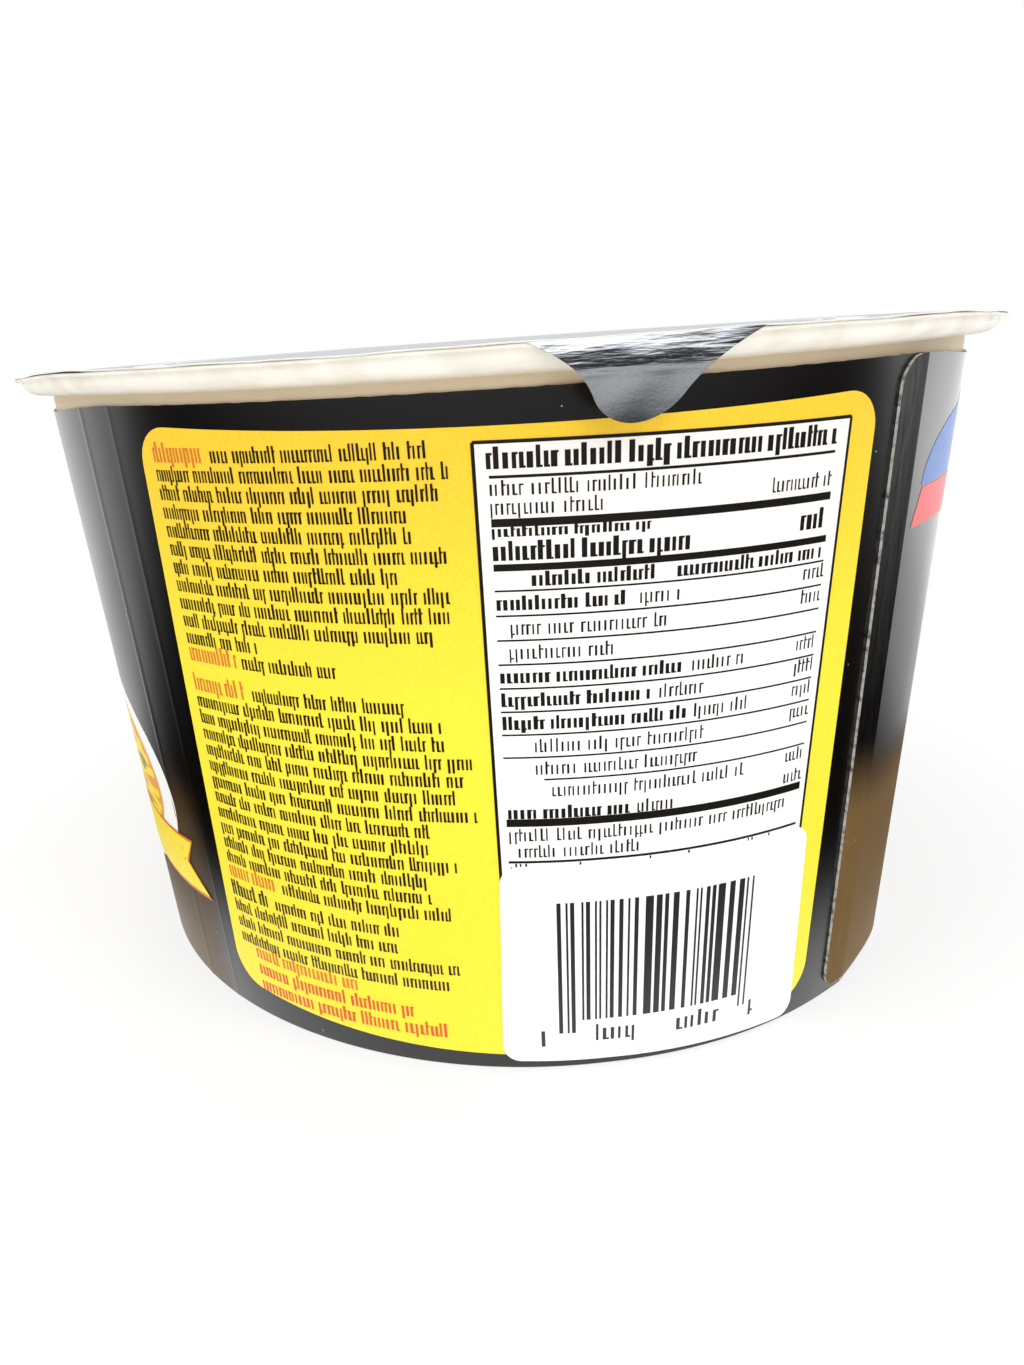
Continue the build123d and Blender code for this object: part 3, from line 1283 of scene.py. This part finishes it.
@dataclass
class FrontPrint:
    """Plain generic picture round the rest of the sleeve: bowl, ribbon, dome with band, and disc."""

    printer: Printer
    inks: Inks
    field_lift: float = 0.03
    upper_lift: float = 0.055
    noodle_lift: float = 0.075
    green_lift: float = 0.1
    ribbon_lift: float = 0.13
    disc_angle: float = 175.0
    nets: dict[str, Net] = field(default_factory=dict)

    def bowl(self, angle: float, height: float, wide: float, tall: float) -> None:
        """Adds a bowl seen from above: white ellipse, broth, wavy noodles and green rounds.

        Args:
            angle: its middle, in degrees.
            height: its middle's height.
            wide: its half width, in degrees.
            tall: its half height.
        """
        printer, nets = self.printer, self.nets
        printer.ellipse(nets["white"], angle, height, wide, tall, self.field_lift)
        printer.ellipse(nets["broth"], angle, height + 0.4, wide * 0.84, tall * 0.78, self.upper_lift)
        sweep = np.linspace(-1, 1, 50)
        thick = tall * 0.085 * np.array([[-0.5], [0.5]])
        for i in range(9):
            level = -0.56 + 0.14 * i
            reach = wide * 0.8 * math.sqrt(max(0.05, 1 - (level / 0.72) ** 2))
            middle = height + tall * level + 0.55 * np.sin(sweep * 11 + i * 1.9)
            printer.grid(nets["noodle"], angle + sweep * reach, middle + thick, self.noodle_lift)
        draw = np.random.default_rng(5)
        for _ in range(14):
            turn, away = draw.uniform(0, 2 * np.pi), draw.uniform(0.1, 0.62)
            printer.ellipse(nets["green"], angle + wide * away * math.cos(turn),
                            height + tall * away * math.sin(turn), 1.5, 1.2, self.green_lift)

    def ribbon(self, start: float, end: float, low: float, tall: float) -> None:
        """Adds a plain band with a notched end on the right and an orange outline behind it.

        Args:
            start: its left end, in degrees.
            end: its right end.
            low: height of its lower edge.
            tall: its height.
        """
        share = np.linspace(0, 1, 13)[:, None]
        across = np.linspace(0, 1, 60)
        notch = 3.6 * (1 - np.abs(2 * share - 1)) - 2.2 * (1 - share)
        for name, grow, under in (("ribbon_edge", 0.45, 0.025), ("ribbon", 0.0, 0.0)):
            stop = end - notch + grow
            angles = start - grow + (stop - start + grow) * across
            sag = -1.6 * ((angles - (start + end) / 2) / (end - start)) + 1.4 * np.sin(across * 5.5)
            heights = low - grow + (tall + 2 * grow) * share + sag
            self.printer.grid(self.nets[name], angles, heights, self.ribbon_lift - under)

    def dome(self) -> None:
        """Adds a half ellipse over a band whose ends lean to the right."""
        self.printer.ellipse(self.nets["blue"], 69.5, 66.2, 21.0, 9.6, self.field_lift, 0.0)
        heights = np.linspace(61.4, 66.0, 8)
        lean = (heights - heights[0]) * 0.45
        self.printer.scan(self.nets["red"], heights, 46.8 + lean, 90.0 + lean, 0.035)

    def disc(self) -> None:
        """Adds a large disc with a bowl, seen from the side, and three wavy lines of steam."""
        printer, nets, middle, lift = self.printer, self.nets, self.disc_angle, self.upper_lift
        printer.ellipse(nets["sun"], middle, 46.0, 25.0, 26.0, self.field_lift)
        phi = np.radians(np.linspace(2, 88, 22))
        wide = 16.0 * np.sin(phi)
        printer.scan(nets["sun_bowl"], 45.0 - 14.0 * np.cos(phi), middle - wide, middle + wide, lift)
        rim, half = np.linspace(45.6, 47.4, 3), np.full(3, 18.0)
        printer.scan(nets["sun_bowl"], rim, middle - half, middle + half, lift)
        levels = np.linspace(50, 64, 26)
        for i in range(3):
            centre = middle - 7 + i * 7 + 1.1 * np.sin((levels - levels[0]) * 0.62)
            printer.scan(nets["steam"], levels, centre - 0.7, centre + 0.7, lift)

    def build(self) -> None:
        """Builds each ink of the picture as one piece."""
        inks = {"white": "white", "broth": "broth", "noodle": "yellow", "green": "green",
                "ribbon_edge": "orange", "ribbon": "yellow", "blue": "blue", "red": "crimson",
                "sun": "yellow", "sun_bowl": "white", "steam": "orange"}
        self.nets = {name: Net() for name in inks}
        self.bowl(-77.0, 27.0, 28.0, 15.5)
        self.ribbon(-118.0, -46.2, 17.0, 7.4)
        self.dome()
        self.disc()
        for name, net in self.nets.items():
            net.make("front_" + name, [self.inks[inks[name]]], Slot.SLEEVE)


# ---------------------------------------------------------------- studio


@dataclass(frozen=True)
class View:
    """The camera: where it stands, how it is turned, and how the picture is framed."""

    distance: float = 168.29
    height: float = 87.02
    yaw: float = -0.098
    pitch: float = -0.227
    roll: float = -0.070
    focal: float = 1050.65
    middle_x: float = 400.0
    middle_y: float = 580.0

    def build(self) -> None:
        """Makes the camera and sets it as the scene's."""
        forward = np.array([math.sin(self.yaw) * math.cos(self.pitch),
                            math.cos(self.yaw) * math.cos(self.pitch), math.sin(self.pitch)])
        right = np.array([math.cos(self.yaw), -math.sin(self.yaw), 0.0])
        up = np.cross(right, forward)
        side = math.cos(self.roll) * right + math.sin(self.roll) * up
        upright = -math.sin(self.roll) * right + math.cos(self.roll) * up
        data = bpy.data.cameras.new("camera")
        data.sensor_width = 36.0
        data.lens = self.focal / PICTURE_HEIGHT * data.sensor_width
        data.shift_x = (PICTURE_WIDTH / 2 - self.middle_x) / PICTURE_HEIGHT
        data.shift_y = -(PICTURE_HEIGHT / 2 - self.middle_y) / PICTURE_HEIGHT
        data.clip_start = 0.005
        camera = bpy.data.objects.new("camera", data)
        place = Matrix.Identity(4)
        for row in range(3):
            place[row][0], place[row][1], place[row][2] = side[row], upright[row], -forward[row]
        place[0][3], place[1][3], place[2][3] = 0.0, -self.distance * MM, self.height * MM
        camera.matrix_world = place
        bpy.context.scene.collection.objects.link(camera)
        bpy.context.scene.camera = camera


@dataclass(frozen=True)
class Lamp:
    """A square soft lamp aimed at the cup's middle, unseen in gloss. Metres and watts."""

    name: str
    place: tuple[float, float, float]
    size: float
    power: float
    aim_height: float = 0.045

    def build(self) -> None:
        """Makes the lamp."""
        data = bpy.data.lights.new(self.name, "AREA")
        data.size, data.energy = self.size, self.power
        lamp = bpy.data.objects.new(self.name, data)
        lamp.location = self.place
        lamp.visible_glossy = False
        aim = Vector((0, 0, self.aim_height)) - lamp.location
        lamp.rotation_euler = aim.to_track_quat("-Z", "Y").to_euler()
        bpy.context.scene.collection.objects.link(lamp)


@dataclass(frozen=True)
class Studio:
    """Pale floor, soft lamps and a white surround whose front half is dark to gloss."""

    floor_half: float = 3.0
    surround: float = 0.5
    gloss: float = 1.15
    near_white: float = 0.72
    overhead: float = 2.9
    lamps: tuple[Lamp, ...] = (
        Lamp("top", (0.0, -0.1, 1.0), 0.7, 5.6),
        Lamp("left", (-0.75, -0.5, 0.7), 0.5, 2.8),
        Lamp("right", (0.75, -0.5, 0.7), 0.5, 3.0),
        Lamp("front", (0.1, -0.85, 0.5), 0.45, 2.25),
    )

    def floor(self) -> None:
        """Makes the floor: white to the camera, dark to gloss in front, with the cup's shadow kept."""
        half = self.floor_half
        mesh = bpy.data.meshes.new("floor")
        corners = [(-half, -half, 0), (half, -half, 0), (half, half, 0), (-half, half, 0)]
        mesh.from_pydata(corners, [], [(0, 1, 2, 3)])
        floor = bpy.data.objects.new("floor", mesh)
        paint = Paint("pale_floor")
        paint.set(Base_Color=linear("F4F4F4"), Roughness=0.9, Specular_IOR_Level=0.1)
        x, y = paint.axes()[:2]
        away = (x * x + y * y).power(0.5)
        path = paint.add("ShaderNodeLightPath", {}, {})
        glow = paint.add("ShaderNodeEmission", {}, {"Color": (1, 1, 1, 1), "Strength": 1.0})
        white = away.ramp(80, 260) * (1 - self.near_white) + self.near_white
        seen = Value(paint, path.outputs["Is Camera Ray"]) * white
        bright = y.ramp(-15, 50) + y.ramp(50, 200) * (x.ramp(-60, 60) * 1.2 + 0.3)
        bright = bright + (1 - y.ramp(-330, -225)) * 0.8 + (1 - away.ramp(58, 82)) * 1.6
        tint = paint.mix(bright * 0.5, (0, 0, 0, 1), (1, 1, 1, 1))
        sheen = paint.add("ShaderNodeEmission", {}, {"Color": tint, "Strength": 2 * self.gloss})
        plain = paint.add("ShaderNodeMixShader", {}, {
            0: seen, 1: paint.shader.outputs[0], 2: glow.outputs[0]})
        both = paint.add("ShaderNodeMixShader", {}, {
            0: path.outputs["Is Glossy Ray"], 1: plain.outputs[0], 2: sheen.outputs[0]})
        paint.feed(paint.output.inputs["Surface"], both.outputs[0])
        mesh.materials.append(paint.material)
        bpy.context.scene.collection.objects.link(floor)

    def world(self) -> None:
        """Makes the surround: white to the camera, even for light, and for gloss dark in front."""
        world = bpy.data.worlds.new("studio")
        bpy.context.scene.world = world
        world.use_nodes = True
        world.node_tree.nodes.clear()
        graph = Graph(world.node_tree)
        place = graph.add("ShaderNodeTexCoord", {}, {})
        split = graph.add("ShaderNodeSeparateXYZ", {}, {0: place.outputs["Generated"]})
        path = graph.add("ShaderNodeLightPath", {}, {})
        depth, rise = Value(graph, split.outputs["Y"]), Value(graph, split.outputs["Z"])
        camera = Value(graph, path.outputs["Is Camera Ray"])
        glossy = Value(graph, path.outputs["Is Glossy Ray"])
        shine = depth.ramp(0.08, 0.5) * self.gloss
        overhead = rise.ramp(0.34, 0.66) * (1 - depth.ramp(0.0, 0.4)) * self.overhead
        strength = camera + glossy * (shine + overhead)
        strength = strength + (1 - camera) * (1 - glossy) * self.surround
        light = graph.add("ShaderNodeBackground", {}, {"Color": (1, 1, 1, 1), "Strength": strength})
        graph.add("ShaderNodeOutputWorld", {}, {"Surface": light.outputs[0]})

    def build(self) -> None:
        """Builds floor, surround and lamps."""
        self.floor()
        self.world()
        for lamp in self.lamps:
            lamp.build()
        bpy.context.scene.view_settings.view_transform = "Standard"


INKS = (
    # Second tones lie towards the top; the yellow's and the white's darker ones are painted shade under
    # the rim.
    Ink("print_yellow", "FFE832", "F4C327"),
    Ink("print_white", "FCFBF8", "F5EEE6"),
    Ink("print_black", "1A150E", "15110C"),
    Ink("print_orange", "DC7C2A", "D8742A"),
    Ink("print_red", "DA5228", "D8502A"),
    Ink("label_paper", "FBFBFB", "F6F6F4", 0.42),
    Ink("label_black", "222426", "1C1E20"),
    Ink("print_broth", "E9A24A", "E29A44"),
    Ink("print_green", "7FA86A", "6F9A5C"),
    Ink("print_blue", "3A66AE", "4272BC"),
    Ink("print_crimson", "E0474C", "E0474C"),
)


def main() -> None:
    """Builds every piece in order, then the studio and the camera."""
    logging.basicConfig(level=logging.INFO, format="%(message)s")
    wall = Wall.from_frame()
    core = BoardCore().make()
    edge = BoardCore("board_edge", "D2CFC8", "5C5850").make()
    tab = LidFoil("tab_foil", "B2B6BA", edge_radius=100.0, crinkle=1.2).make()
    Cup(wall, IvoryShell().make()).build()
    Lid(LidFoil("lid_foil", "6E7276").make(), tab, core).build()
    Sleeve(wall, SleeveBoard().make(), edge, core).build()
    printer = Printer(wall)
    inks = {ink.name.removeprefix("print_"): ink.make() for ink in INKS}
    IngredientsPanel(wall, printer, inks).build()
    Label(wall, printer, inks).build()
    FrontPrint(printer, inks).build()
    Studio().build()
    View().build()


if __name__ == "__main__":
    main()
